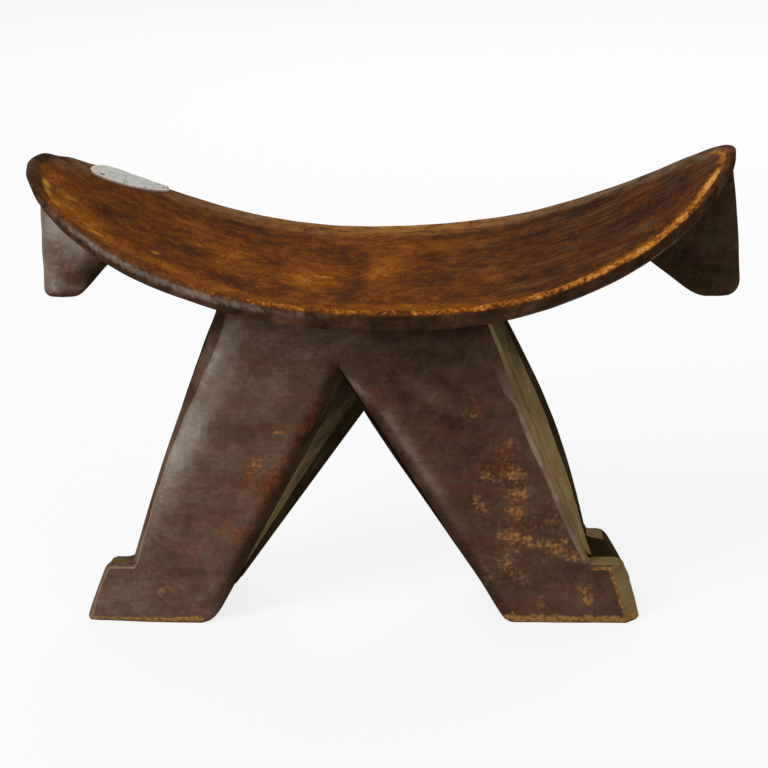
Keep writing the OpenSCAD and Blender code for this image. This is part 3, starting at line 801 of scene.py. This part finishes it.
def base_mask(side, points, facing, recess):
    """Masks of one leg: how light it is, with painted sheen and painted shade in it, raw wood, worn arrises
    and soles, reddish and orange places, olive rounded edges and pale chamfers."""
    face = facing["face"]
    front = (face == 0) * 1.0
    z = points[..., 2]
    z_mm = z / mm
    out_mm = np.abs(points[..., 0] - base_middle) / mm
    outer_gap = facing["outer_gap"]
    inner_gap = facing["inner_gap"]
    chamfer = facing["chamfer"]
    beyond = chamfer - outer_gap
    seen = points[..., [0, 2]]
    across = (points[..., 0] - base_middle) / mm
    # painted sheen: more on the left leg than on the right one
    tone = np.interp(across, [-110, -20, 30, 70, 120], [0.58, 0.53, 0.4, 0.38, 0.46])
    # painted shade under the seat: darker towards the top
    tone = tone - 0.14 * smooth_step(215 * mm, 238 * mm, z)
    in_chamfer = smooth_step(-0.3 * mm, 0.5 * mm, beyond) * front
    if side < 0:
        # painted sheen on the broad facet along the outer edge, and a little just inside the chamfer
        facet = np.interp(z_mm, [40, 95, 190, 240], [8, 26, 40, 36]) * mm
        level = np.interp(z_mm, [43, 60, 85, 105, 125, 155, 172, 192, 206, 245],
                          [0.0, 0.08, 0.16, 0.27, 0.32, 0.26, 0.15, 0.2, 0.24, 0.05])
        tone = tone + level * smooth_step(facet, 0.3 * facet, outer_gap) * front
        tone = tone + 0.07 * hill(beyond, -3 * mm, 3 * mm) * smooth_step(60, 100, z_mm) * front
        tone = tone - 0.3 * in_chamfer * smooth_step(50, 90, z_mm)
        # painted shade beside the notch's inner edge
        tone = tone - 0.3 * smooth_step(14 * mm, 2 * mm, inner_gap) * smooth_step(5, 40, z_mm) * front
        ember = add_spots(seen, (
            (-85, 109, 26, 10, 62, 0.8), (-99, 117, 20, 8, 70, 0.75), (-109, 68, 16, 8, 62, 0.7),
            (-126, 40, 14, 6, 62, 0.5), (-141, 55, 16, 5, 62, 0.4), (-56, 150, 30, 8, 60, 0.5),
            (-170, 22, 22, 12, 0, 0.3), (-73, 172, 8, 10, 0, 0.3), (-128, 80, 20, 10, 0, 0.35),
            (-122, 70, 34, 5, 66, 0.45), (-148, 40, 24, 10, 50, 0.3), (-60, 170, 16, 12, 0, 0.25),
            (-50, 205, 30, 10, -10, 0.25),
        ))
        orange = add_spots(seen, (
            (-92, 124, 12, 6, 50, 0.45), (-77, 147, 5, 1.6, 0, 1.2), (-78, 168, 10, 6, 0, 0.25),
            (-36, 226, 14, 1.4, 3, 1.0), (-170, 22, 10, 6, 0, 0.35), (-149, 22, 2, 2, 0, 0.8),
        ))
        ember = ember + 0.12 * hill(inner_gap, 5 * mm, 4 * mm) * smooth_step(80, 120, z_mm)
        ember = ember + 0.22 * in_chamfer * smooth_step(70, 150, z_mm)
    else:
        # a painted soft sheen along the crest of the facet beside the notch, and a band of painted shade
        # inside it
        crest_sheen = np.exp(-(np.abs((inner_gap - 12.5 * mm) / (5.6 * mm)) ** 1.6))
        tone = tone + 0.27 * crest_sheen * np.interp(z_mm, [40, 80, 100, 130, 160, 172], [0, 0.3, 0.7, 1, 0.8, 0])
        tone = tone - 0.12 * smooth_step(11 * mm, 6 * mm, inner_gap) * smooth_step(190, 150, z_mm)
        # painted sheen in spots near the fork, and a faint broad one lower down
        tone = tone + add_spots(seen, (
            (30, 178, 24, 7, -40, 0.12), (80, 75, 60, 40, 0, 0.04), (-17, 179, 14, 5, -42, 0.32),
        )) * front
        # painted shade under the seat at the top of the right leg
        tone = tone - 0.22 * smooth_step(205 * mm, 236 * mm, z) * smooth_step(5, 40, across)
        ember = add_spots(seen, (
            (85, 121, 20, 14, 0, 0.5), (95, 93, 20, 14, 90, 0.55), (91, 67, 20, 14, 90, 0.4),
            (118, 60, 26, 14, -20, 0.4), (66, 167, 18, 12, -60, 0.5), (-3, 178, 20, 3.5, -32, 0.5),
            (12, 190, 14, 6, 0, 0.3), (88, 140, 14, 20, 0, 0.35),
            (85, 39, 10, 6, -70, 0.4), (60, 120, 30, 16, -60, 0.2),
        ))
        orange = add_spots(seen, (
            (90, 116, 9, 9, 60, 0.55), (94, 100, 9, 6, 0, 0.7), (66, 92, 5, 11, 30, 0.6),
            (93, 86, 6, 5, 0, 0.5), (72, 113, 8, 5, 0, 0.5), (95, 64, 16, 4, -12, 0.6),
            (118, 58, 8, 5, -30, 0.65), (136, 50, 10, 5, 0, 0.5), (86, 40, 5, 8, 20, 0.5),
            (128, 64, 6, 5, 0, 0.4), (60, 160, 6, 8, 60, 0.5), (46, 168, 6, 5, 0, 0.3),
            (64, 170, 4, 3, 0, 0.5), (92, 128, 22, 34, 0, 0.26), (104, 72, 40, 26, 0, 0.3),
            (80, 40, 40, 26, 0, 0.2), (141, 26, 1.6, 1.2, 0, 1.2), (145, 17, 2.2, 1.4, 0, 1.2),
            (112, 14, 8, 10, 0, 0.35), (-29, 184, 1.2, 7, 4, 1.2),
        ))
    toe_bevel = smooth_step(-0.4 * mm, 0.4 * mm, toe_bevel_width - facing["toe_gap"]) * front * (side > 0)
    toe_wear = hill(facing["toe_gap"], toe_bevel_width, 1.6 * mm) * (side > 0)
    toe_wear = toe_wear + 0.75 * spot(seen, (143 * mm, 20 * mm), (9 * mm, 24 * mm), 20)
    toe_wear = toe_wear * front * smooth_step(foot_height, foot_height - 5 * mm, z)
    toe_wear = toe_wear + 0.9 * front * hill(z, 41.5 * mm, 1.4 * mm) * smooth_step(158, 176, across)
    side_face = np.isin(face, (1, 5))
    arris_level = np.interp(z_mm, [0, 60, 110, 170, 240], [1, 0.95, 0.8, 0.3, 0.1]) if side < 0 else 0
    arris = front * hill(beyond, 0, 0.8 * mm) * arris_level
    slant = np.clip(1.3 - 0.6 * (out_mm - 100) / 80, 0.7, 1.3) if side < 0 else 1.3
    sole = hill(z, 0, 5.0 * mm * slant) * np.where(np.isin(face, (0, 6)) | side_face, 1.1, 0.4)
    first, full = (-0.2 * mm, 1.2 * mm) if side > 0 else (0.2 * mm, 2.4 * mm)
    sole = sole * smooth_step(first, full, z)
    if side > 0:
        sole = np.maximum(sole, np.clip(0.75 * toe_wear, 0, 0.75))
    else:
        # the rounded heel is not rubbed
        sole = sole * smooth_step(2 * mm, 12 * mm, inner_gap)
    # raw wood in the outer and inner recesses, and on the top of the toes, darker higher up in the recesses
    # as painted shade under the seat and towards the fork
    outer_raw = recess * np.interp(z_mm, [0, 130, 225], [0.88, 0.88, 0.5])
    raw = np.where(np.isin(face, (3, 4)), outer_raw, np.where(face > 8, 0.75 * recess, 0))
    fading = np.interp(z_mm, [0, 60, 150, 190], [1, 1, 0.6, 0.4])
    raw = np.where(np.isin(face, (8, 9, 10)), raw * fading, raw)
    step_top = smooth_step(foot_height - 5 * mm, foot_height - 2.5 * mm, z)
    step_top = step_top * (z < foot_height + 0.5 * mm) * side_face
    raw = np.maximum(raw, step_top * (0.85 if side > 0 else 0.65))
    on_toe = np.where(face == 1, 1.0, toe_bevel) * (side > 0)
    raw = np.maximum(raw, 0.82 * on_toe * smooth_step(foot_height + 3 * mm, foot_height, z))
    # painted shade: the rear toe's front face, between the toes, is kept dark
    raw = raw * np.where((face == 4) & (z < foot_height - 1 * mm), 0.1, 1)
    depth = points[..., 1] / mm
    right_leg_side = (face == 1) * (z > foot_height) * (side > 0)
    raw = np.maximum(raw, 0.85 * right_leg_side * smooth_step(-33.5, -32.5, depth))
    pale = np.where(face == 1, smooth_step(-32.5, -33.5, depth), in_chamfer)
    pale = pale * smooth_step(foot_height - 2 * mm, foot_height + 6 * mm, z) * smooth_step(200, 170, z_mm)
    rounded = 0.6 * front * smooth_step(3 * mm, 0, inner_gap)
    olive = np.where(np.isin(face, (2, 4, 5, 7, 8, 10, 11)), 1.0, rounded)
    olive = np.where(face == 1, 0.8, olive)
    if side < 0:
        pale = 0 * pale
    return {
        "tone": np.clip(tone, 0, 1.2) * np.where(np.isin(face, (0, 6)), 1, 0.7), "raw": raw,
        "ember": np.clip(ember * front, 0, 1),
        "arris": np.clip(arris, 0, 1), "sole": np.clip(sole, 0, 1.2),
        "orange": np.clip(orange * front, 0, 1), "pale": np.clip(pale, 0, 1),
        "olive": np.clip(olive, 0, 1),
    }


def make_leg_finish(name):
    """Dark hand-polished wood, mottled from near black to a painted grey sheen, with raw olive wood in the
    recesses and tan where it is worn."""
    material, tree, shader = new_material(name)
    place = add_node(tree, "ShaderNodeTexCoord", {}).outputs["Object"]
    grain = add_grain(tree, place, 0.007)
    clouds = ease(tree, grain["Clouds"], 0.36, 0.64)
    specks = ease(tree, grain["Specks"], 0.4, 0.66)
    tone = sway(tree, add_mask(tree, "tone"), grain, Clouds=0.4, Mottle=0.36, Specks=0.26, Fine=0.12)
    # the lightest stops give the painted grey sheen
    dark = ramp(
        tree, tone, (0.0, paint(30, 21, 15)), (0.3, paint(58, 40, 30)), (0.55, paint(87, 65, 51)),
        (0.8, paint(116, 99, 86)), (1.0, paint(148, 137, 126)),
    )
    redness = times(tree, ease(tree, grain["Streaks"], 0.5, 0.66), ease(tree, tone, 0.85, 0.5))
    dark = cover(tree, redness, 0.3, dark, paint(92, 48, 30))
    olive_wood = blend(tree, clouds, paint(36, 29, 17), paint(58, 47, 28))
    olive_wood = cover(tree, specks, 0.2, olive_wood, paint(84, 70, 44))
    colour = blend(tree, add_wear(tree, place, add_mask(tree, "olive"), 0.012, 0.3), dark, olive_wood)
    raw = add_mask(tree, "raw")
    raw_tone = sway(tree, raw, grain, Clouds=0.7, Fine=0.5)
    raw_colour = ramp(
        tree, raw_tone, (0.0, paint(34, 27, 17)), (0.45, paint(60, 49, 32)), (0.9, paint(138, 114, 74)),
        (1.0, paint(150, 128, 88)),
    )
    colour = blend(tree, ease(tree, raw, 0.0, 0.4), colour, raw_colour)
    pale_colour = blend(tree, clouds, paint(116, 94, 76), paint(160, 136, 114))
    pale_colour = cover(tree, specks, 0.3, pale_colour, paint(64, 50, 38))
    colour = blend(tree, add_mask(tree, "pale"), colour, pale_colour)
    tint = add_flecks(tree, add_mask(tree, "ember"), grain, 0.2, 1.0, Mottle=0.9, Specks=0.6)
    colour = cover(tree, tint, 0.7, colour, blend(tree, specks, paint(98, 46, 20), paint(130, 66, 22)))
    orange = add_flecks(tree, add_mask(tree, "orange"), grain, 0.2, 1.05, Mottle=1.3, Specks=1.8)
    colour = cover(tree, orange, 0.72, colour, blend(tree, specks, paint(132, 80, 36), paint(180, 130, 72)))
    arris = add_wear(tree, place, add_mask(tree, "arris"), 0.012, 0.5)
    colour = cover(tree, arris, 0.7, colour, paint(138, 112, 90))
    sole = add_wear(tree, place, add_mask(tree, "sole"), 0.005, 0.45)
    colour = cover(tree, sole, 0.9, colour, blend(tree, specks, paint(158, 118, 66), paint(104, 70, 34)))
    tree.links.new(colour, shader.inputs["Base Color"])
    rough = combine(tree, "MULTIPLY_ADD", clouds, 0.12, 0.46)
    tree.links.new(combine(tree, "MULTIPLY_ADD", raw, 0.3, rough), shader.inputs["Roughness"])
    shader.inputs["Specular IOR Level"].default_value = 0.0
    shader.inputs["Coat Roughness"].default_value = 0.36
    gloss = times(tree, ease(tree, tone, 0.2, 1.0), 0.35)
    for mask in (raw, sole, add_mask(tree, "olive")):
        gloss = times(tree, gloss, combine(tree, "SUBTRACT", 1.0, mask))
    tree.links.new(gloss, shader.inputs["Coat Weight"])
    height = combine(tree, "MULTIPLY_ADD", grain["Pores"], 0.5, grain["Fine"])
    height = combine(tree, "MULTIPLY_ADD", grain["Mottle"], 1.5, height)
    bump = add_node(tree, "ShaderNodeBump", {"Height": height, "Strength": 0.3, "Distance": 0.0008})
    tree.links.new(bump.outputs[0], shader.inputs["Normal"])
    return material


def make_base():
    """Both legs as one closed mesh, welded along the plane above the fork."""
    parts, masks, faces, offset = [], [], [], 0
    for side in (-1, 1):
        points, facing, recess = leg_surface(side)
        rows, columns = points.shape[:2]
        leg_mask = base_mask(side, points, facing, recess)
        # hand carving on the front, the rear and the outer sides; the inner sides stay plain
        carved = 0.4 * mm * ripple(points, 0.05, 11) + 0.12 * mm * ripple(points, 0.016, 12)
        face = facing["face"]
        points[..., 1] += carved * (face == 0) - carved * (face == 6)
        points[..., 0] += side * carved * np.isin(face, (1, 2, 3, 4, 5))
        quads = grid_faces(rows, columns)
        inner = (face[quads % columns] >= 7) | (quads % columns == 0)
        on_seam = (inner & (quads // columns >= fork_row)).all(axis=1)
        quads = quads[~on_seam]
        top = np.arange((rows - 1) * columns, rows * columns)
        sole = np.arange(columns)[::-1]
        faces += (quads + offset).tolist() + [(top + offset).tolist(), (sole + offset).tolist()]
        offset += rows * columns
        parts.append(points.reshape(-1, 3))
        masks.append({key: values.ravel() for key, values in leg_mask.items()})
    joined = {key: np.concatenate([m[key] for m in masks]) for key in masks[0]}
    add_piece(
        "legs_and_feet", np.concatenate(parts), faces, joined, make_leg_finish("dark carved wood"),
        "leg_wood", "left_front_leg", "right_front_leg", "left_rear_leg", "right_rear_leg", "left_web",
        "right_web", "left_front_foot", "right_front_foot", "left_rear_foot", "right_rear_foot",
    )


make_base()


# End lugs
# Under each end of the seat the block keeps a short lug: nearly upright outside, slanting
# inside, with worn lower corners. The left one has a carved chamfer along its slant.
lug_half_depth = 27 * mm
lug_bottom = {-1: 244.6 * mm, 1: 242.2 * mm}
lug_top_out = {-1: 238.5 * mm, 1: 245.2 * mm}
lug_reach = {-1: 241.2 * mm, 1: 250 * mm}
lug_tip = {-1: 216 * mm, 1: 220 * mm}
lug_root = {-1: 172.8 * mm, 1: 161.4 * mm}
lug_low_inner_round = {-1: 3.5 * mm, 1: 7 * mm}
lug_low_outer_round = {-1: 7 * mm, 1: 12 * mm}
lug_chamfer_width = 15 * mm


def lug_surface(side):
    """A lug as a straight blend from its bottom outline to the outline where it meets the seat.
    Both outlines are rounded oblongs with the same number of points."""
    turn = np.linspace(0, 2 * np.pi, 200, endpoint=False)
    wide = np.sign(np.cos(turn)) * np.abs(np.cos(turn)) ** 0.2
    deep = np.sign(np.sin(turn)) * np.abs(np.sin(turn)) ** 0.2
    rows = np.linspace(0, 1, 80)[:, None]
    bottom = lug_bottom[side]
    inner = lug_tip[side] + (lug_root[side] - lug_tip[side]) * rows
    outer = lug_reach[side] + (lug_top_out[side] - lug_reach[side]) * rows ** 1.6
    middle = (inner + outer) / 2
    half = (outer - inner) / 2
    x = middle + half * wide
    ceiling = seat_top(side * x, 0 * x) - joint_depth
    # the root of the slanting face runs out at this height
    slant_top = saddle_height + 30 * mm
    z = bottom + (slant_top - bottom) * rows + 0 * x
    z = np.where(wide > 0, bottom + (ceiling - bottom) * rows, z)
    y = lug_half_depth * deep + 0 * x
    # the lower end is rounded, more at its outer corner than at its inner one
    low = np.where(wide < 0, lug_low_inner_round[side], lug_low_outer_round[side])
    rounding = np.clip(1 - (z - bottom) / low, 0, 1)
    shrink = low / (2 * half) * (1 - np.sqrt(1 - rounding ** 2))
    x = middle + (x - middle) * (1 - 2 * shrink)
    y = y * (1 - 5 * mm / lug_half_depth * (1 - np.sqrt(1 - rounding ** 2)))
    if side < 0:
        # the chamfer along the slant's front edge
        over = (inner + lug_chamfer_width - x) / lug_chamfer_width
        cut = (2.5 + 6.5 * smooth_step(0, 22 * mm, z - bottom)) * mm
        y = np.where(y < 0, y + cut * np.clip(over, 0, 1), y)
    points = np.dstack([side * x, y, np.minimum(z, ceiling)])
    middle_low = points[0].mean(axis=0)
    middle_high = points[-1].mean(axis=0)
    shares = np.array([0.0, 0.3, 0.6, 0.85])[:, None, None]
    caps = middle_low + (points[0] - middle_low) * shares
    lids = middle_high + (points[-1] - middle_high) * shares[1::-1]
    points = np.concatenate([caps, points, lids])
    points[..., 1] += 0.4 * mm * ripple(points, 0.03, 21)
    points[..., 0] += 0.3 * mm * ripple(points, 0.025, 22)
    points[..., 0] = np.clip(points[..., 0], -half_length, half_length)
    zero = np.zeros(points.shape[:2])
    tone, orange, olive, ember = zero + 0.26, zero, zero + 0.5, zero + 0.1
    if side < 0:
        # painted light: the left lug is lighter than the right one, with a painted grey sheen in front,
        # painted shade on a band along the slant with a red-brown line in it, painted shade along the lower
        # edge, and dark olive off the front
        from_slant = (points[..., 0] + 0.2179 - (points[..., 2] - 0.2465) * 0.98) * -0.72
        front = smooth_step(-20 * mm, -26 * mm, points[..., 1])
        slant_shade = smooth_step(15 * mm, 11 * mm, from_slant)
        low = smooth_step(8 * mm, 2 * mm, points[..., 2] - bottom)
        tone = 0.8 - 0.32 * slant_shade - 0.3 * low
        tone = tone + 0.2 * ripple(points, 0.022, 23)
        ember = 0.5 * hill(from_slant, 12 * mm, 3.5 * mm) * front * (1 - low)
        orange = 0.35 * hill(points[..., 0], -229 * mm, 4 * mm) * front * (1 - low)
        olive = 1 - front
    masks = {"tone": tone, "raw": zero, "arris": zero, "sole": zero, "orange": orange, "pale": zero,
             "olive": olive, "ember": ember}
    return points, masks


for side, name, node_name in ((-1, "left_lug", "left_end_lug"), (1, "right_lug", "right_end_lug")):
    lug_points, lug_masks = lug_surface(side)
    add_piece(
        name, lug_points, grid_faces(*lug_points.shape[:2]), lug_masks,
        make_leg_finish(f"{name.split('_')[0]} lug wood"), "lug_wood", node_name,
    )


# Patch
# An oval of thin sheet metal mends the seat's far edge near its left end. It is beaten to the
# wood's shape, with its border hammered down, folded over the rim and held by small nails.
patch_middle_x = -201 * mm
patch_reach_x = 31 * mm
patch_half_width = 15.5 * mm
patch_inset = 9.5 * mm
patch_skew = 7.5 * mm
patch_blunt = 0.02
nail_radius = 1.3 * mm
nail_height = 0.9 * mm
nail_sunk = 0.8 * mm
nail_places = ((-0.78, -0.1), (-0.35, -0.72), (0.3, -0.74), (0.84, -0.15))


def patch_point(along, across, off):
    """A point of the seat's far edge. along is the share of the patch's half length; across
    walks from the top (-1) over the rounded edge (1); off is the height above the wood."""
    rim_x = patch_middle_x + along * patch_reach_x
    share = np.abs(rim_x) / half_length
    narrowing = 1 - share ** left_fullness
    steepness = left_fullness * share ** (left_fullness - 1) / half_length
    slope = half_width * side_power * narrowing ** (side_power - 1) * steepness
    breadth = np.sqrt(np.maximum(patch_blunt, 1 - along ** 2)) * patch_half_width
    run_in = patch_inset - patch_skew * along - across * breadth
    round_off = 4.5 * mm
    turn = np.clip(-run_in / round_off, 0, np.pi / 2)
    down = np.maximum(0, -run_in - round_off * np.pi / 2)
    inset = round_off + np.maximum(run_in, 0) - (round_off + off) * np.sin(turn)
    x = rim_x + inset * slope / np.hypot(1, slope)
    y = half_width * narrowing ** side_power - inset / np.hypot(1, slope)
    level = (round_off + off) * np.cos(turn) - round_off - down
    points = np.dstack([x, y, seat_top(x, y) + level])
    points[..., 2] += carving(points)
    return points


def patch_surface():
    """The sheet's upper side, its edge and its lower side, as one closed ring of columns for
    each step along the oval. Returns points and a mask of the border and one of the dents."""
    steps = np.sin(np.linspace(-np.pi / 2, np.pi / 2, 90))
    across = np.linspace(-1, 1, 56)
    along, over = np.meshgrid(steps, across, indexing="ij")
    flat = np.dstack([along, over, 0 * over])
    from_border = 1 - np.sqrt(along ** 2 + over ** 2 * (1 - along ** 2))
    border = smooth_step(0.16, 0.05, from_border)
    # beaten dents, a creased place near the middle, and a deep dent at the right tip
    dents = spot(flat, (-0.8, -0.1), (0.09, 0.2)) + 0.8 * spot(flat, (-0.5, 0.15), (0.14, 0.16))
    dents += spot(flat, (-0.22, -0.55), (0.05, 0.5)) + 0.9 * spot(flat, (-0.08, 0.05), (0.06, 0.2))
    dents += 0.7 * spot(flat, (0.62, -0.1), (0.05, 0.25)) + 0.5 * spot(flat, (0.2, 0.1), (0.1, 0.1))
    dents += 1.2 * spot(flat, (0.95, -0.1), (0.04, 0.5))
    beaten = 0.22 * ripple(flat, 0.5, 31) + 0.16 * ripple(flat, 0.22, 32)
    off = (1.35 + 0.25 * border - 0.75 * np.clip(dents, 0, 1.2) + beaten * (1 - border)) * mm
    off = np.maximum(off * smooth_step(0, 0.03, from_border + 0.012), 0.35 * mm)
    upper = patch_point(along, over, off)
    lower = patch_point(along, over, 0 * over - 0.6 * mm)
    points = np.concatenate([upper, lower[:, ::-1]], axis=1)
    masks = {"border": np.concatenate([border, 0 * border], axis=1),
             "dents": np.concatenate([np.clip(dents, 0, 1), 0 * dents], axis=1)}
    # the two tips close to a line
    for row in (0, -1):
        points[row] = (points[row] + points[row, ::-1]) / 2
    return points, masks


def make_tin():
    """Bright beaten sheet metal, darker in its dents, with a warm rubbed border."""
    material, tree, shader = new_material("beaten sheet metal")
    place = add_node(tree, "ShaderNodeTexCoord", {}).outputs["Object"]
    noise = add_node(tree, "ShaderNodeTexNoise", {"Vector": place, "Scale": 260.0, "Detail": 4.0})
    spots = ease(tree, noise.outputs["Fac"], 0.52, 0.68)
    colour = cover(tree, spots, 0.6, paint(112, 109, 101), paint(88, 80, 68))
    colour = cover(tree, add_mask(tree, "border"), 0.8, colour, paint(140, 114, 94))
    dents = add_wear(tree, place, add_mask(tree, "dents"), 0.003, 0.5)
    colour = cover(tree, dents, 0.8, colour, paint(84, 78, 62))
    tree.links.new(colour, shader.inputs["Base Color"])
    shader.inputs["Metallic"].default_value = 0.25
    shader.inputs["Roughness"].default_value = 0.45
    bump = add_node(tree, "ShaderNodeBump", {
        "Height": noise.outputs["Fac"], "Strength": 0.4, "Distance": 0.0006,
    })
    tree.links.new(bump.outputs[0], shader.inputs["Normal"])
    return material


tin = make_tin()
patch_points, patch_masks = patch_surface()
patch_rows, patch_columns = patch_points.shape[:2]
add_piece(
    "sheet_patch", patch_points, grid_faces(patch_rows, patch_columns), patch_masks, tin,
    "patch_metal", "metal_patch",
)


def nail_surface(along, across):
    """One nail's head: a low dome, as rings from its crown to its foot, on the patch."""
    turn = np.linspace(0, 2 * np.pi, 24, endpoint=False)
    fall = np.linspace(0, np.pi / 2, 8)[:, None]
    spot_at = np.array([[along]]), np.array([[across]])
    seat_at = patch_point(*spot_at, np.array([[0.9 * mm]]))[0, 0]
    up = patch_point(*spot_at, np.array([[3 * mm]]))[0, 0] - seat_at
    up = up / np.linalg.norm(up)
    side_way = np.cross(up, [1, 0, 0])
    side_way = side_way / np.linalg.norm(side_way)
    front_way = np.cross(up, side_way)
    radius = nail_radius * np.sin(fall)
    ring = np.cos(turn)[None, :, None] * side_way + np.sin(turn)[None, :, None] * front_way
    dome = seat_at + ring * radius[..., None] + up * (nail_height * np.cos(fall) + 0 * turn)[..., None]
    foot = seat_at - up * nail_sunk + ring * nail_radius
    base = seat_at - up * nail_sunk + 0 * ring
    return np.concatenate([dome, foot, base])


heads = [nail_surface(along, across) for along, across in nail_places]
head_faces = grid_faces(*heads[0].shape[:2])
head_size = heads[0].shape[0] * heads[0].shape[1]
all_heads = np.concatenate([head.reshape(-1, 3) for head in heads])
all_faces = np.concatenate([head_faces + number * head_size for number in range(len(heads))])
flat_mask = {"border": np.zeros(len(all_heads)), "dents": np.zeros(len(all_heads))}
add_piece("nail_heads", all_heads, all_faces, flat_mask, tin, "nail_metal", "patch_nails")


# Room
# A pale floor that fades into a white surround, and large soft lights, the main one from the
# upper left.
def seen_directly(tree):
    """1 for rays from the camera, off a gloss or through a clear material, and 0 for others."""
    rays = add_node(tree, "ShaderNodeLightPath", {})
    direct = combine(tree, "MAXIMUM", rays.outputs["Is Camera Ray"], rays.outputs["Is Glossy Ray"])
    return combine(tree, "MAXIMUM", direct, rays.outputs["Is Transmission Ray"])


def stand(thing, across, up, back, place):
    """Puts an object in the scene, at a place and with its axes along three directions."""
    matrix = np.eye(4)
    matrix[:3] = np.column_stack([across, up, back, place])
    thing.matrix_world = Matrix(matrix.tolist())
    bpy.context.scene.collection.objects.link(thing)


def make_floor():
    """A wide floor that the camera sees as almost white, with the stool's soft shadow."""
    reach = 6.0
    mesh = bpy.data.meshes.new("floor")
    corners = np.array([[-reach, -reach, 0], [reach, -reach, 0], [reach, reach, 0], [-reach, reach, 0]])
    mesh.from_pydata(corners - [0, 0, 0.0003], [], [[0, 1, 2, 3]])
    floor = bpy.data.objects.new("floor", mesh)
    bpy.context.scene.collection.objects.link(floor)
    material = bpy.data.materials.new("pale floor")
    material.use_nodes = True
    tree = material.node_tree
    tree.nodes.clear()
    matte = add_node(tree, "ShaderNodeBsdfDiffuse", {"Color": (0.82, 0.82, 0.82, 1)})
    white = add_node(tree, "ShaderNodeEmission", {"Color": (1, 1, 1, 1), "Strength": 1.0})
    share = times(tree, seen_directly(tree), 0.82)
    mixed = add_node(tree, "ShaderNodeMixShader", {0: share, 1: matte.outputs[0], 2: white.outputs[0]})
    add_node(tree, "ShaderNodeOutputMaterial", {"Surface": mixed.outputs[0]})
    mesh.materials.append(material)


make_floor()


def add_softbox(name, place, target, size, power):
    """A large square area light at a place, turned to a target."""
    lamp = bpy.data.lights.new(name, "AREA")
    lamp.shape = "RECTANGLE"
    lamp.size, lamp.size_y = size
    lamp.energy = power
    light = bpy.data.objects.new(name, lamp)
    back = np.array(place) - np.array(target)
    back = back / np.linalg.norm(back)
    across = np.cross([0, 0, 1], back)
    across = across / np.linalg.norm(across)
    up = np.cross(back, across)
    stand(light, across, up, back, place)


add_softbox("main_softbox", (-1.5, -1.3, 1.8), (0, 0, 0.2), (1.2, 1.2), 42)
add_softbox("fill_softbox", (1.6, -1.6, 1.0), (0, 0, 0.2), (1.4, 1.4), 9)
add_softbox("back_softbox", (0.2, 2.0, 1.3), (0, 0, 0.25), (2.4, 1.2), 24)

world = bpy.data.worlds.new("studio")
world.use_nodes = True
bpy.context.scene.world = world
sky = world.node_tree
sky.nodes.clear()
strength = combine(sky, "MULTIPLY_ADD", seen_directly(sky), 0.65, 0.35)
background = add_node(sky, "ShaderNodeBackground", {"Color": (1, 1, 1, 1), "Strength": strength})
add_node(sky, "ShaderNodeOutputWorld", {"Surface": background.outputs[0]})

# The camera stands in front, a little to the right, looks down on the stool and is tilted a
# little to one side.
turn_right, look_down, roll = (math.radians(a) for a in (6.5, 20.0, 2.389))
camera_distance = 1734.5 * mm
looked_at = np.array([-3.045, 0, 169.767]) * mm
away = np.array([
    math.sin(turn_right) * math.cos(look_down), -math.cos(turn_right) * math.cos(look_down),
    math.sin(look_down),
])
level_right = np.array([math.cos(turn_right), math.sin(turn_right), 0])
level_up = np.cross(away, level_right)
camera_right = math.cos(roll) * level_right - math.sin(roll) * level_up
camera_up = math.sin(roll) * level_right + math.cos(roll) * level_up
camera = bpy.data.objects.new("camera", bpy.data.cameras.new("camera"))
camera.data.lens = 112.5
camera.data.sensor_width = 36
stand(camera, camera_right, camera_up, away, looked_at + camera_distance * away)
bpy.context.scene.camera = camera
bpy.context.scene.view_settings.view_transform = "Standard"
